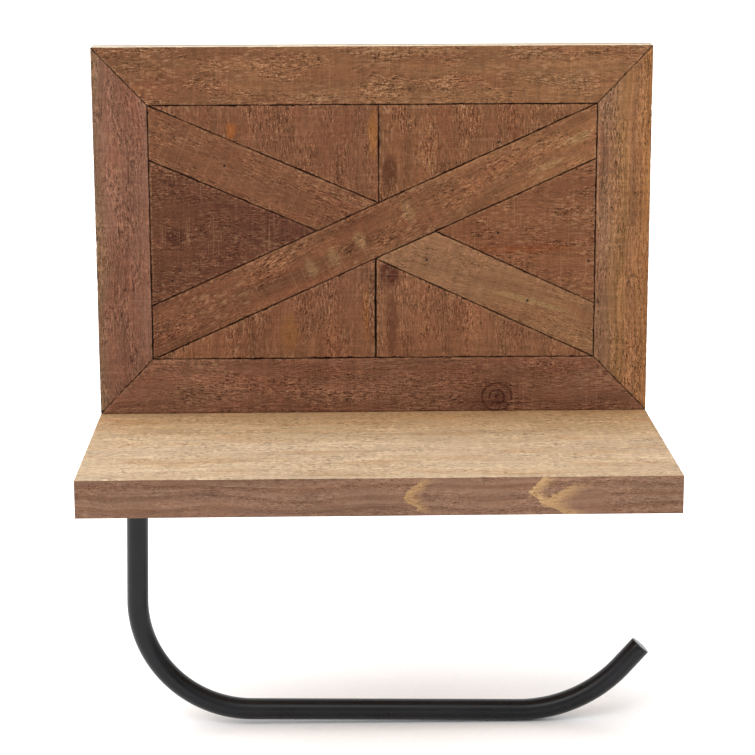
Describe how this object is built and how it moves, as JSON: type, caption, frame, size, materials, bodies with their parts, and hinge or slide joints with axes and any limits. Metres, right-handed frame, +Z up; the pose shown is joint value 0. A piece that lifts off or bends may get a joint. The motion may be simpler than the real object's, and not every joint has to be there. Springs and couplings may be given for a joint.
{
  "type": "toilet paper holder",
  "caption": "Wall-hung toilet paper holder: barn-door panel with an X brace, a thick wooden shelf, and a bent steel bar under it that carries the roll.",
  "frame": {"origin": "on the wall plane, midway between the centres of the two keyholes' round entry holes", "axes": "+X to the right of someone facing the holder, +Y into the wall, +Z up"},
  "size_m": [0.28, 0.1473, 0.3324],
  "materials": {
    "frame_wood": "rough-sawn, brown stain",
    "brace_wood": "rough-sawn, brown stain",
    "infill_wood": "rough-sawn, brown stain",
    "plywood": "unfinished plywood",
    "shelf_wood": "rough-sawn, light stain",
    "black_steel": "satin black powder coat",
    "black_screws": "black oxide",
    "zinc_steel": "bright zinc plate",
    "brad_steel": "bare wire, darkened by the stain"
  },
  "bodies": {
    "root": {"top_rail": "frame_wood", "bottom_rail": "frame_wood", "left_stile": "frame_wood", "right_stile": "frame_wood", "long_brace": "brace_wood", "upper_half_brace": "brace_wood", "lower_half_brace": "brace_wood", "infill_top_left": "infill_wood", "infill_top_right": "infill_wood", "infill_left": "infill_wood", "infill_right": "infill_wood", "infill_bottom_left": "infill_wood", "infill_bottom_right": "infill_wood", "backing_board": "plywood", "shelf_board": "shelf_wood", "roll_bar": "black_steel", "bar_plate": "black_steel", "weld_bead": "black_steel", "plate_screws": "black_screws", "shelf_screws": "zinc_steel", "keyhole_plate_left": "zinc_steel", "keyhole_plate_right": "zinc_steel", "keyhole_screws": "zinc_steel", "face_brads": "brad_steel"}
  },
  "joints": []
}
